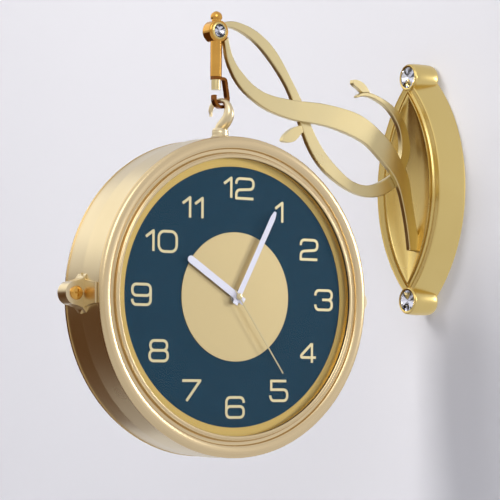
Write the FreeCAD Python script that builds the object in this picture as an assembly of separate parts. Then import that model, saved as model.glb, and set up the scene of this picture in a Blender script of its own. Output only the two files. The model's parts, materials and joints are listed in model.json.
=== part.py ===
"""Double-sided wall clock that hangs from a scrollwork wall bracket.

Millimetres, Z up. The origin is the middle of the wall plate's back, the wall is the plane X = 0,
the arm reaches towards -X and the front dial faces -Y.
"""
import FreeCAD
import Part
import math
import os

from FreeCAD import Vector

os.makedirs("parts", exist_ok=True)

X_AXIS = Vector(1, 0, 0)
Y_AXIS = Vector(0, 1, 0)
Z_AXIS = Vector(0, 0, 1)
ORIGIN = Vector(0, 0, 0)
full_turn_degrees = 360
half_turn_degrees = 180

# Overall places
rod_reach = 262.3        # wall to the hanger's upright axis
barrel_rise = 136.5      # plate centre up to the tip barrel's axis
hook_offset = 5.3        # rod axis to the hang point, towards the wall
case_radius = 150.0      # outside of the case at its seam
overrun = 1.0            # how far cuts run past what they cut
join_gap = 0.0001        # ends nearer than this are one point

# Wall plate: half widths and half heights of its almond outlines, and their heights off the wall
plate_depth = 30.0
wall_half_width = 54.5
wall_half_height = 118.0
rim_height = 2.5
step_half_width = 50.5
step_half_height = 108.5
step_height = 25.5
crest_half_width = 44.5
crest_half_height = 104.0
crest_width = 2.0
crest_end = 4.0
dish_depth = 14.0
dish_angles = (25.0, 50.0, 72.0)
pocket_depth = 12.5
pocket_half_width = 46.0
pocket_half_height = 92.0
pocket_draft = 6.0
boss_spacing = 224.0     # lower boss to upper boss
boss_radius = 14.5
screw_hole_radius = 2.75
screw_seat_depth = 12.0
screw_head_radius = 5.5

# Crystals and their rings, on the plate's bosses
ring_depth = 5.0
ring_wall = 2.2
ring_lip = 0.8
boss_lip = 1.7
crystal_gap = 0.1
crystal_rise = 2.4
crystal_girdle = 1.2
crystal_sides = 16
crown_share = 0.78
table_share = 0.52
crown_height_share = 0.6
crown_twist_share = 0.5    # of a side

# Arm straps, in two layers that meet at Y = 0
strap_depth = 6.0
bead_radius = 2.4
bud_radius = 1.5
arm_screw_radius = 1.6
arm_screw_length = 11.0
arm_screw_head_radius = 3.0
arm_screw_head_height = 2.2
arm_screw_clearance = 0.2
arm_screw_inset = 4.5    # lower screw, above the tail's end
arm_screw_spacing = 9.0

# Tip barrel, which the rod's spindle passes through
barrel_radius = 10.8
barrel_length = 14.5
barrel_setback = 1.5     # its middle, behind the arm's meeting plane
barrel_round = 2.2
barrel_flat = 9.6        # height of the flats above and below its axis
barrel_crystal_radius = 8.2
barrel_ring_depth = 2.2

# Hanger: rod, finial nut, hook strap and its nut
rod_radius = 5.6
rod_bottom = 93.4
spindle_radius = 2.5
spindle_clearance = 0.06
washer_thickness = 1.0
finial_radius = 5.7
finial_height = 9.6
finial_neck_radius = 4.6
finial_neck_height = 2.0
finial_thread_depth = 6.0
strap_thickness = 3.0
hook_width = 5.4
hook_plate_back = 4.6
hook_corner_reach = 9.6
hook_bowl_radius = 7.4
hook_bowl_height = 72.3
hook_tip_rise = 3.7
hook_corner_radius = 3.0
hook_knee_rise = 2.0
rod_nut_radius = 4.4
rod_nut_height = 9.4

# Clock hook: open C of tapering wire on a beaded collar
hook_half_width = 10.0
hook_rise = 26.0         # collar top up to the middle of the top wire
hook_wire_radius = 2.5   # where it hangs
hook_neck_radius = 5.6
hook_turn = 62.0         # its plane, turned from the dial's plane
hook_wire_shares = [     # along its plane, up from the collar, and radius as a share of the neck's
    (-1.00, 0.44, 0.29), (-1.05, 0.62, 0.36), (-0.84, 0.85, 0.41), (-0.42, 0.975, 0.43), (0.00, 1.00, 0.446),
    (0.42, 0.97, 0.45), (0.80, 0.79, 0.66), (0.90, 0.50, 0.90), (0.62, 0.25, 1.00), (0.18, 0.06, 1.00),
    (0.00, -0.06, 0.96),
]
collar_radius = 8.8
collar_height = 9.6
collar_waist_radius = 7.9
collar_band = 2.0
hook_stud_radius = 2.9
hook_stud_length = 12.0
hook_washer_radius = 7.0
hook_washer_thickness = 1.2
hook_nut_radius = 5.6
hook_nut_height = 5.0
hook_nut_sides = 6
hole_clearance = 0.1

# Case halves; heights run forward from the seam
case_taper = 1.0
case_front_radius = case_radius - case_taper
case_front = 28.0
case_wall = 2.5
ledge_thickness = 2.0
dial_height = 27.0       # the dial's face
dial_thickness = 1.2
dial_play = 0.6

# Bezel, glass, seal and dial flange
bezel_overhang = 0.6     # beyond the case's front edge
bezel_radius = case_front_radius + bezel_overhang
bezel_height = 34.0
bezel_lip_thickness = 1.6
shoulder_width = 2.0
shoulder_radius = bezel_radius - shoulder_width
outer_band_width = 6.3
groove_outer_radius = shoulder_radius - outer_band_width
groove_depth = 1.5
groove_width = 0.9
groove_radius = groove_outer_radius - groove_width
groove_edge_width = 0.8
band_radius = groove_radius - groove_edge_width
band_width = 7.8
lip_outer_radius = band_radius - band_width
lip_slope_width = 1.4
lip_radius = lip_outer_radius - lip_slope_width
lip_width = 1.2
bezel_inner_radius = lip_radius - lip_width
band_height = 33.3
outer_band_height = 32.9
shoulder_height = 32.2
skirt_height = 30.0
glass_hold = 1.8         # how far the lip reaches over the glass
glass_radius = bezel_inner_radius + glass_hold
glass_thickness = 1.6
glass_sag = 7.0
glass_ledge_play = 0.2
seal_thickness = 0.6
seal_back = 30.4
seal_width = 1.6
seal_inner_radius = glass_radius - seal_width
flange_thickness = 0.9
flange_play = 0.2
flange_outer_radius = glass_radius - flange_play
flange_wall_width = 1.4
flange_wall_radius = flange_outer_radius - flange_wall_width
flange_width = 9.4
flange_inner_radius = flange_outer_radius - flange_width
dial_overlap = 0.4       # beyond the flange
dial_radius = flange_outer_radius + dial_overlap
ledge_width = 13.2       # under the dial's edge
ledge_inner_radius = dial_radius - ledge_width

# Centre disc and numerals
disc_thickness = 0.8
numeral_margin = 19.7    # flange to the middle of the numerals
numeral_circle = flange_inner_radius - numeral_margin
disc_margin = 41.6       # disc to the middle of the numerals
disc_radius = numeral_circle - disc_margin
numeral_width = 22.0
numeral_height = 21.0
numeral_stroke = 2.5
numeral_round = 6.2
numeral_bowl = 4.3
numeral_corner = 1.4
numeral_thickness = 0.4
one_width = 10.5
digit_space = 3.2

# Movement behind each dial, with its battery and setting wheel
movement_side = 56.0
movement_depth = 16.0
movement_round = 4.0
bush_radius = 4.0
bush_bore_radius = 2.58
bush_reach = 2.9         # in front of the dial
nut_radius = 6.4
nut_thickness = 1.9
battery_radius = 7.1
battery_length = 50.0
battery_cap_radius = 2.7
battery_cap_length = 1.2
battery_offset = 18.5    # below the movement's middle
bay_clearance = 0.3
contact_thickness = 0.4
contact_width = 9.0
wheel_radius = 8.0
wheel_thickness = 3.0
wheel_offset_x = 14.0
wheel_offset_z = 15.0
wheel_stub_radius = 2.2
wheel_stub_length = 5.0
wheel_stub_clearance = 0.08
wheel_gap = 0.4
wheel_grips = 18
wheel_grip_radius = 0.9

# Hands: plane of each hand's back, above the seam
hour_height = 30.3
minute_height = 31.9
second_height = 33.5
hand_thickness = 0.5
second_thickness = 0.3
hour_length = 65.0
hour_width = 7.0
hour_tail = 9.0
minute_length = 91.0
minute_width = 5.6
minute_tip_width = 2.6
minute_tip_length = 6.0
minute_tail = 8.0
second_length = 87.0
second_width = 1.3
second_tail = 8.0
hour_hub_radius = 5.0
minute_hub_radius = 4.0
second_hub_radius = 1.9
cap_radius = 3.1
cap_height = 0.9
hour_tube_radius = 2.5
hour_tube_bore = 1.73
minute_arbor_radius = 1.65
minute_arbor_bore = 0.73
second_pin_radius = 0.65
hour_angle = 302.5       # clockwise from twelve, at 10:04:24
minute_angle = 27.4
second_angle = 144.4
arbor_start = 14.0       # where the arbors start inside the movement
arbor_proud = 0.3

# Side lugs, their screws and nuts
lug_standoff = 9.5       # case to the lug's screw
lug_centre = case_radius + lug_standoff
lug_radius = 10.8
lug_depth = 7.5
lug_point_height = 18.5
lug_flare_share = 0.6
lug_flare_rise_share = 0.3
lug_leaf_reach = 27.5
lug_leaf_end_height = 9.3
lug_leaf_thickness = 2.0
lug_leaf_edge_shares = [(0, 1), (0.2, 0.5), (0.5, 0.18), (1, 0)]
lug_screw_radius = 2.5
lug_screw_clearance = 0.1
lug_head_radius = 6.3
lug_head_height = 3.8
lug_head_shares = [(0, 0), (1, 0), (1, 0.33), (0.75, 0.83), (0, 1)]    # of its radius and height
lug_nut_bore_clearance = 0.05
lug_nut_radius = 3.6
lug_nut_depth = 5.0
recess_length = 7.0
recess_width = 1.7
recess_depth = 1.3

clock_x = -rod_reach + hook_offset
hook_ring_top = hook_bowl_height - hook_bowl_radius + strap_thickness / 2 + hook_wire_radius
hang_clearance = 2.1     # keeps the wire off the bowl's rims through its swing
hook_wire_z = hook_ring_top + hang_clearance
collar_seat = 0.4        # its foot, above the case
hang_drop = case_radius + collar_seat + collar_height + hook_rise
clock_z = hook_wire_z - hang_drop
tau = 2 * math.pi


def save(name, shape):
    """Write one node and say what it holds."""
    shape.exportStep("parts/" + name + ".step")
    print(name, "solids", len(shape.Solids), "volume", round(shape.Volume, 1), "valid", shape.isValid())


def group(solids):
    return Part.makeCompound(solids)


def cylinder(radius, length, base, direction):
    return Part.makeCylinder(radius, length, base, direction)


def line(a, b):
    return Part.LineSegment(a, b).toShape()


def polygon(points):
    return Part.Face(Part.makePolygon(points + points[:1]))


# Flat shapes in (u, v), laid on a plane by a function that gives the point in space

def side_plane(u, v):
    """Plane of the arm and of the dial: u along X, v along Z."""
    return Vector(u, 0, v)


def rounded_edges(points, radii, place, closed):
    """Lines through the points, with an arc of the given radius at each corner."""
    count = len(points)
    joints = []
    for i, (point, radius) in enumerate(zip(points, radii)):
        corner = Vector(point[0], point[1], 0)
        ends = not closed and i in (0, count - 1)
        if ends or radius <= 0:
            joints.append((corner, None, corner))
            continue
        before = Vector(*points[i - 1], 0) - corner
        after = Vector(*points[(i + 1) % count], 0) - corner
        before.normalize()
        after.normalize()
        half = before.getAngle(after) / 2
        back = radius / math.tan(half)
        middle = before + after
        middle.normalize()
        reach = radius / math.sin(half) - radius
        joints.append((corner + before * back, corner + middle * reach, corner + after * back))
    edges = []
    for i in range(count if closed else count - 1):
        start = joints[i][2]
        end = joints[(i + 1) % count][0]
        if (end - start).Length > join_gap:
            edges.append(line(place(start.x, start.y), place(end.x, end.y)))
    for first, mid, last in joints:
        if mid is not None:
            ends = [place(p.x, p.y) for p in (first, mid, last)]
            edges.append(Part.Arc(*ends).toShape())
    return edges


def offset_corners(points, radii, distance, closed):
    """The same path moved to its left by a distance, with its corner radii to match."""
    count = len(points)
    moved = []
    for i in range(count):
        here = Vector(points[i][0], points[i][1], 0)
        before = Vector(points[i - 1][0], points[i - 1][1], 0) if closed or i > 0 else None
        after = Vector(*points[(i + 1) % count], 0) if closed or i < count - 1 else None
        came = (here - before).normalize() if before is not None else (after - here).normalize()
        goes = (after - here).normalize() if after is not None else came
        normal = Vector(-came.y - goes.y, came.x + goes.x, 0)
        normal.normalize()
        spread = normal.dot(Vector(-came.y, came.x, 0))
        turn = came.cross(goes).z
        radius = radii[i] - math.copysign(distance, turn * distance) if turn else radii[i]
        moved.append(((here + normal * (distance / spread)), max(radius, 0)))
    return [(p.x, p.y) for p, r in moved], [r for p, r in moved]


def band_face(points, radii, width, place, closed=False):
    """A stroke of constant width along a path with rounded corners."""
    sides = []
    for distance in (width / 2, -width / 2):
        corners, rounds = offset_corners(points, radii, distance, closed)
        sides.append((corners, rounds))
    (left, left_radii), (right, right_radii) = sides
    if closed:
        wires = []
        for corners, rounds in sides:
            edges = rounded_edges(corners, rounds, place, True)
            wires.append(Part.Wire(Part.__sortEdges__(edges)))
        faces = [Part.Face(wire) for wire in wires]
        faces.sort(key=lambda face: -face.Area)
        return faces[0].cut(faces[1]).Faces[0]
    edges = rounded_edges(left, left_radii, place, False)
    edges += rounded_edges(right, right_radii, place, False)
    edges.append(line(place(*left[0]), place(*right[0])))
    edges.append(line(place(*left[-1]), place(*right[-1])))
    return Part.Face(Part.Wire(Part.__sortEdges__(edges)))


def spline_edge(points, place):
    curve = Part.BSplineCurve()
    curve.interpolate([place(u, v) for u, v in points])
    return curve.toShape()


def ribbon_face(one_side, other_side, place):
    """The area between two smooth edges, closed by straight ends."""
    edges = [spline_edge(one_side, place), spline_edge(other_side, place)]
    edges.append(line(place(*one_side[0]), place(*other_side[0])))
    edges.append(line(place(*one_side[-1]), place(*other_side[-1])))
    return Part.Face(Part.Wire(Part.__sortEdges__(edges)))


def arm_points(shares):
    """Shares of the rod's reach and of the barrel's rise, as places in the arm's plane."""
    return [(-x * rod_reach, z * barrel_rise) for x, z in shares]


def turned(profile, axis_point, axis):
    """Turn a closed profile round an axis."""
    return Part.Face(Part.makePolygon(profile + profile[:1])).revolve(axis_point, axis, full_turn_degrees)


# Crystals

def crystal(radius, height, girdle):
    """A cut stone standing on its base along Z: girdle, ring of crown facets and a flat table."""
    def ring(share, level, twist):
        step = tau / crystal_sides
        angles = [(i + twist) * step for i in range(crystal_sides)]
        return [Vector(radius * share * math.cos(a), radius * share * math.sin(a), level) for a in angles]
    base = ring(1, 0, 0)
    waist = ring(1, girdle, 0)
    crown = ring(crown_share, girdle + (height - girdle) * crown_height_share, crown_twist_share)
    table = ring(table_share, height, 0)
    faces = [polygon(base), polygon(table)]
    for i in range(crystal_sides):
        j = (i + 1) % crystal_sides
        faces.append(polygon([base[i], base[j], waist[j], waist[i]]))
        faces.append(polygon([waist[i], waist[j], crown[i]]))
        faces.append(polygon([waist[j], crown[j], crown[i]]))
        faces.append(polygon([crown[i], crown[j], table[j]]))
        faces.append(polygon([crown[i], table[j], table[i]]))
    return Part.Solid(Part.Shell(faces))


def crystal_ring(radius, depth):
    """A turned ring along Z that holds a stone of the seat's size, with a lip round its mouth."""
    inner = radius - ring_wall
    profile = [
        Vector(inner, 0, 0), Vector(radius, 0, 0), Vector(radius, 0, depth),
        Vector(radius - ring_lip, 0, depth + ring_lip), Vector(inner, 0, depth + ring_lip / 2),
    ]
    return turned(profile, ORIGIN, Z_AXIS)


def seated(shape, place, direction):
    """Stand a Z-built shape on a place, pointing along a direction."""
    copy = shape.copy()
    copy.Placement = FreeCAD.Placement(place, FreeCAD.Rotation(Z_AXIS, direction))
    return copy


# Wall plate

def almond(half_width, half_height, height):
    """Pointed oval outline, two arcs, at a height off the wall."""
    top = Vector(-height, 0, half_height)
    bottom = Vector(-height, 0, -half_height)
    near = Part.Arc(top, Vector(-height, -half_width, 0), bottom).toShape()
    far = Part.Arc(bottom, Vector(-height, half_width, 0), top).toShape()
    return Part.Wire([near, far])


def plate_body():
    outline = [
        almond(wall_half_width, wall_half_height, 0),
        almond(wall_half_width, wall_half_height, rim_height),
        almond(step_half_width, step_half_height, step_height),
        almond(crest_half_width, crest_half_height, plate_depth),
    ]
    return Part.makeLoft(outline, True, True)


def plate_dish():
    """The hollow face inside the crest: shallow bowl levels, smooth from the crest to its floor."""
    width = crest_half_width - crest_width
    height = crest_half_height - crest_end
    levels = [almond(width, height, plate_depth)]
    for angle in dish_angles:
        share = math.cos(math.radians(angle))
        sink = dish_depth * math.sin(math.radians(angle))
        levels.append(almond(width * share, height * share, plate_depth - sink))
    return Part.makeLoft(levels, True, False)


def plate_pocket():
    mouth = almond(pocket_half_width, pocket_half_height, 0)
    floor = almond(pocket_half_width - pocket_draft, pocket_half_height - pocket_draft, pocket_depth)
    return Part.makeLoft([mouth, floor], True, True)


def boss_places():
    return [Vector(0, 0, boss_spacing / 2), Vector(0, 0, -boss_spacing / 2)]


def wall_plate():
    body = plate_body().cut(plate_dish()).cut(plate_pocket())
    away = X_AXIS * -1
    for place in boss_places():
        body = body.fuse(cylinder(boss_radius, plate_depth, place, away))
    for place in boss_places():
        body = body.cut(cylinder(screw_hole_radius, plate_depth + overrun, place, away))
        seat = place + away * screw_seat_depth
        body = body.cut(cylinder(screw_head_radius, plate_depth, seat, away))
        mouth = place + away * (plate_depth - ring_depth)
        body = body.cut(cylinder(boss_radius - boss_lip, ring_depth + overrun, mouth, away))
    for place in arm_screw_places():
        body = body.cut(cylinder(arm_screw_radius + arm_screw_clearance, plate_depth, place, away))
    return body.removeSplitter()


def plate_crystals():
    radius = boss_radius - boss_lip
    rings = []
    stones = []
    for place in boss_places():
        seat = place + X_AXIS * -(plate_depth - ring_depth)
        rings.append(seated(crystal_ring(radius, ring_depth), seat, X_AXIS * -1))
        stone = crystal(radius - ring_wall - crystal_gap, ring_depth + crystal_rise, ring_depth / 2)
        stones.append(seated(stone, seat, X_AXIS * -1))
    return group(rings), group(stones)


# Arm: the outlines are shares of the rod's reach and the barrel's rise

ribbon_upper_shares = [
    (0.963, 0.974), (0.958, 0.930), (0.948, 0.864), (0.927, 0.786), (0.892, 0.714), (0.854, 0.653),
    (0.794, 0.599), (0.734, 0.577), (0.636, 0.566), (0.543, 0.563), (0.448, 0.544), (0.351, 0.500),
    (0.254, 0.390), (0.204, 0.308), (0.164, 0.207), (0.134, 0.122), (0.110, -0.053), (0.088, -0.264),
    (0.059, -0.462),
]
ribbon_lower_shares = [
    (0.984, 0.960), (0.976, 0.912), (0.967, 0.821), (0.948, 0.736), (0.915, 0.643), (0.853, 0.547),
    (0.793, 0.487), (0.733, 0.451), (0.636, 0.420), (0.589, 0.415), (0.495, 0.395), (0.399, 0.349),
    (0.326, 0.292), (0.278, 0.223), (0.228, 0.140), (0.189, 0.056), (0.152, -0.125), (0.132, -0.293),
    (0.120, -0.454),
]
scroll_outer_shares = [
    (0.976, 1.059), (0.959, 1.075), (0.938, 1.084), (0.879, 1.074), (0.819, 1.033), (0.761, 0.960),
    (0.720, 0.878), (0.680, 0.772), (0.647, 0.675), (0.608, 0.549), (0.572, 0.407), (0.538, 0.298),
    (0.490, 0.188), (0.431, 0.092), (0.380, 0.030), (0.332, 0.006), (0.284, 0.011), (0.234, 0.046),
    (0.195, 0.088), (0.151, 0.150),
]
scroll_inner_shares = [
    (0.980, 1.017), (0.965, 1.033), (0.946, 1.040), (0.892, 1.020), (0.834, 0.966), (0.774, 0.872),
    (0.730, 0.782), (0.692, 0.689), (0.666, 0.607), (0.635, 0.473), (0.605, 0.344), (0.571, 0.221),
    (0.514, 0.096), (0.453, 0.015), (0.380, -0.051), (0.308, -0.080), (0.259, -0.075), (0.209, -0.041),
    (0.160, 0.024), (0.126, 0.081),
]
lower_leaf_top_shares = [(0.587, 0.400), (0.613, 0.399), (0.657, 0.372), (0.700, 0.296)]
lower_leaf_bottom_shares = [(0.587, 0.340), (0.599, 0.355), (0.642, 0.290), (0.669, 0.270), (0.702, 0.279)]
lower_bead_share = (0.714, 0.315)
lower_bud_share = (0.729, 0.298)
tendril_outer_shares = [
    (0.360, 0.647), (0.331, 0.677), (0.297, 0.681), (0.238, 0.650), (0.202, 0.621), (0.164, 0.571),
    (0.133, 0.505), (0.115, 0.438), (0.104, 0.366), (0.099, 0.293), (0.107, 0.212), (0.126, 0.132),
]
tendril_inner_shares = [
    (0.356, 0.634), (0.332, 0.649), (0.294, 0.648), (0.253, 0.623), (0.215, 0.583), (0.185, 0.530),
    (0.161, 0.465), (0.147, 0.392), (0.143, 0.322), (0.146, 0.249), (0.158, 0.183), (0.175, 0.125),
]
tendril_leaf_top_shares = [(0.284, 0.660), (0.299, 0.690), (0.317, 0.732), (0.346, 0.761), (0.375, 0.764)]
tendril_leaf_bottom_shares = [(0.323, 0.660), (0.334, 0.681), (0.358, 0.711), (0.368, 0.722), (0.377, 0.738)]
tendril_bead_share = (0.390, 0.748)
tendril_bud_share = (0.406, 0.729)


def strap(one_side, other_side, start, depth):
    """A flat strap cut to two smooth edges, its front face at Y = start."""
    face = ribbon_face(arm_points(one_side), arm_points(other_side), side_plane)
    solid = face.extrude(Y_AXIS * depth)
    solid.translate(Y_AXIS * start)
    return solid


def bead(share, radius, start):
    (x, z), = arm_points([share])
    return Part.makeSphere(radius, Vector(x, start, z))


def arm_screw_places():
    """Where screws come through the plate from its pocket into the tail's end."""
    low = ribbon_lower_shares[-1][1] * barrel_rise + arm_screw_inset
    return [Vector(0, -strap_depth / 2, low), Vector(0, -strap_depth / 2, low + arm_screw_spacing)]


def arm_screw(place, seat):
    away = X_AXIS * -1
    head_start = place + away * (seat - arm_screw_head_height)
    head = cylinder(arm_screw_head_radius, arm_screw_head_height, head_start, away)
    shank = cylinder(arm_screw_radius, arm_screw_length, place + away * seat, away)
    return head.fuse(shank)


def arm_parts(plate):
    reach = strap_depth + barrel_setback + overrun
    end = cylinder(barrel_radius, 2 * reach, barrel_place - Y_AXIS * reach, Y_AXIS)
    screws = [arm_screw(place, pocket_depth) for place in arm_screw_places()]
    ribbon = strap(ribbon_upper_shares, ribbon_lower_shares, -strap_depth, strap_depth)
    ribbon = ribbon.cut(plate).cut(end).cut(screws[0]).cut(screws[1])
    tendril = strap(tendril_outer_shares, tendril_inner_shares, 0, strap_depth)
    scroll = strap(scroll_outer_shares, scroll_inner_shares, 0, strap_depth)
    scroll = scroll.cut(end).cut(tendril)
    middle = strap_depth / 2
    leaf = strap(lower_leaf_top_shares, lower_leaf_bottom_shares, 0, strap_depth).cut(scroll)
    leaf = leaf.fuse(bead(lower_bead_share, bead_radius, middle))
    leaf = leaf.fuse(bead(lower_bud_share, bud_radius, middle))
    top_leaf = strap(tendril_leaf_top_shares, tendril_leaf_bottom_shares, 0, strap_depth).cut(tendril)
    top_leaf = top_leaf.fuse(bead(tendril_bead_share, bead_radius, middle))
    top_leaf = top_leaf.fuse(bead(tendril_bud_share, bud_radius, middle))
    return largest(ribbon), largest(scroll), largest(tendril), largest(leaf), largest(top_leaf), group(screws)


def largest(shape):
    """The main solid of a trimmed shape, without slivers that the trim leaves."""
    return max(shape.Solids, key=lambda solid: solid.Volume)


# Tip barrel

def on_rod(height):
    """The point at a height on the axis that the hanger turns about."""
    return Vector(-rod_reach, 0, height)


barrel_place = Vector(-rod_reach, barrel_setback, barrel_rise)


def tip_barrel():
    half = barrel_length / 2
    body = cylinder(barrel_radius, barrel_length, barrel_place - Y_AXIS * half, Y_AXIS)
    ends = [edge for edge in body.Edges if edge.Closed]
    body = body.makeFillet(barrel_round, ends)
    for sign in (1, -1):
        base = barrel_place + Vector(-barrel_radius, -half, sign * barrel_flat)
        height = barrel_radius if sign > 0 else -barrel_radius
        low = min(base.z, base.z + height)
        block = Part.makeBox(2 * barrel_radius, barrel_length, barrel_radius, Vector(base.x, base.y, low))
        body = body.cut(block)
        mouth = barrel_place + Y_AXIS * (sign * (half - barrel_ring_depth))
        body = body.cut(cylinder(barrel_crystal_radius, barrel_ring_depth + overrun, mouth, Y_AXIS * sign))
    bore = spindle_radius + spindle_clearance
    return body.cut(cylinder(bore, 2 * barrel_radius, on_rod(barrel_rise - barrel_radius), Z_AXIS))


def barrel_crystals():
    rings = []
    stones = []
    for sign in (1, -1):
        seat = barrel_place + Y_AXIS * (sign * (barrel_length / 2 - barrel_ring_depth))
        rings.append(seated(crystal_ring(barrel_crystal_radius, barrel_ring_depth), seat, Y_AXIS * sign))
        radius = barrel_crystal_radius - ring_wall - crystal_gap
        stone = crystal(radius, barrel_ring_depth + crystal_rise / 2, crystal_girdle)
        stones.append(seated(stone, seat, Y_AXIS * sign))
    return group(rings), group(stones)


# Hanger

barrel_top = barrel_rise + barrel_flat
rod_top = barrel_rise - barrel_flat - washer_thickness
strap_top = rod_bottom
strap_bottom = rod_bottom - strap_thickness


def hanger_rod():
    body = cylinder(rod_radius, rod_top - rod_bottom, on_rod(rod_bottom), Z_AXIS)
    spindle_bottom = strap_bottom - rod_nut_height + overrun
    spindle_top = barrel_top + finial_thread_depth
    spindle = cylinder(spindle_radius, spindle_top - spindle_bottom, on_rod(spindle_bottom), Z_AXIS)
    return body.fuse(spindle).removeSplitter()


def thrust_washer():
    body = cylinder(rod_radius, washer_thickness, on_rod(rod_top), Z_AXIS)
    return body.cut(cylinder(spindle_radius, washer_thickness, on_rod(rod_top), Z_AXIS))


def finial_nut():
    """Dome with a short neck, screwed onto the spindle above the barrel."""
    neck = cylinder(finial_neck_radius, finial_neck_height, on_rod(barrel_top), Z_AXIS)
    middle = barrel_top + finial_height - finial_radius
    dome = Part.makeSphere(finial_radius, on_rod(middle))
    skirt_start = barrel_top + finial_neck_height
    keep = cylinder(finial_radius, finial_height, on_rod(skirt_start), Z_AXIS)
    body = neck.fuse(dome.common(keep))
    return body.cut(cylinder(spindle_radius, finial_thread_depth, on_rod(barrel_top), Z_AXIS))


def hanger_hook():
    """Flat bar bent to a J: plate on the rod's end, leg, bowl and a short free tip."""
    middle = rod_bottom - strap_thickness / 2
    bowl_left = hook_offset - hook_bowl_radius
    bowl_right = hook_offset + hook_bowl_radius
    bowl_bottom = hook_bowl_height - hook_bowl_radius
    points = [
        (-hook_plate_back, middle), (hook_corner_reach, middle),
        (bowl_right, hook_bowl_height + hook_knee_rise),
        (bowl_right, bowl_bottom), (bowl_left, bowl_bottom), (bowl_left, hook_bowl_height + hook_tip_rise),
    ]
    bend = hook_bowl_radius
    radii = [0, hook_corner_radius, hook_corner_radius, bend, bend, 0]
    face = band_face(points, radii, strap_thickness, side_plane)
    body = face.extrude(Y_AXIS * hook_width)
    body.translate(on_rod(0) - Y_AXIS * (hook_width / 2))
    hole = cylinder(spindle_radius, 2 * strap_thickness, on_rod(strap_bottom - strap_thickness / 2), Z_AXIS)
    return body.cut(hole)


def rod_nut():
    start = strap_bottom - rod_nut_height
    body = cylinder(rod_nut_radius, rod_nut_height, on_rod(start), Z_AXIS)
    return body.cut(cylinder(spindle_radius, rod_nut_height, on_rod(start + overrun), Z_AXIS))


# Clock frame: built round the origin, front towards -Y, then carried to its place

clock_place = Vector(clock_x, 0, clock_z)


def carried(shape, rear=False):
    copy = shape.copy()
    if rear:
        copy.rotate(ORIGIN, Z_AXIS, half_turn_degrees)
    copy.translate(clock_place)
    return copy


def clock_ring(profile):
    """Turn (radius, height in front of the seam) round the clock's axis."""
    points = [Vector(radius, -height, 0) for radius, height in profile]
    return turned(points, ORIGIN, Y_AXIS)


def facing(radius, start, end, x=0, z=0):
    """A round part along the clock's axis, between two heights in front of the seam."""
    return cylinder(radius, end - start, Vector(x, -start, z), Y_AXIS * -1)


def drum_outside():
    return clock_ring([(0, 0), (case_radius, 0), (case_front_radius, case_front), (0, case_front)])


def case_half():
    dial_back = dial_height - dial_thickness
    inner_front = case_front_radius - case_wall
    body = clock_ring([
        (case_radius, 0), (case_front_radius, case_front), (inner_front, case_front),
        (inner_front, dial_back), (ledge_inner_radius, dial_back),
        (ledge_inner_radius, dial_back - ledge_thickness),
        (inner_front, dial_back - ledge_thickness), (case_radius - case_wall, 0),
    ])
    stud = hook_stud_radius + hole_clearance
    return body.cut(cylinder(stud, case_radius, ORIGIN, Z_AXIS))


def bezel():
    ledge = glass_front + glass_ledge_play
    return clock_ring([
        (bezel_radius, case_front), (bezel_radius, skirt_height), (shoulder_radius, shoulder_height),
        (groove_outer_radius + groove_depth, outer_band_height), (groove_outer_radius, outer_band_height),
        (groove_radius, band_height - groove_depth), (band_radius, band_height),
        (lip_outer_radius, band_height), (lip_radius, bezel_height),
        (bezel_inner_radius, bezel_height - bezel_lip_thickness / 2),
        (bezel_inner_radius, ledge), (lip_outer_radius, ledge), (lip_outer_radius, case_front),
    ])


glass_back = seal_back + seal_thickness
glass_front = glass_back + glass_thickness


def glass():
    """Domed pane of even thickness, cut from two balls of one size."""
    ball_radius = (glass_radius ** 2 + glass_sag ** 2) / (2 * glass_sag)
    inner = Part.makeSphere(ball_radius, Vector(0, ball_radius - glass_back - glass_sag, 0))
    outer = Part.makeSphere(ball_radius, Vector(0, ball_radius - glass_front - glass_sag, 0))
    return facing(glass_radius, glass_back, glass_front + glass_sag + overrun).common(outer).cut(inner)


def glass_seal():
    return clock_ring([
        (seal_inner_radius, seal_back), (glass_radius, seal_back),
        (glass_radius, glass_back), (seal_inner_radius, glass_back),
    ])


def dial_flange():
    """Gold ring round the dial, with a standing wall that carries the glass's seal."""
    return clock_ring([
        (flange_inner_radius, dial_height), (flange_outer_radius, dial_height),
        (flange_outer_radius, seal_back), (flange_wall_radius, seal_back),
        (flange_wall_radius, dial_height + flange_thickness),
        (flange_inner_radius, dial_height + flange_thickness / 2),
    ])


def dial():
    back = dial_height - dial_thickness
    return facing(dial_radius, back, dial_height).cut(facing(bush_radius + hole_clearance, back, dial_height))


def centre_disc():
    front = dial_height + disc_thickness
    return facing(disc_radius, dial_height, front).cut(
        facing(bush_radius + hole_clearance, dial_height, front))


# Numerals: each digit is a set of strokes on a grid of shares, one where the path is closed

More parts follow.
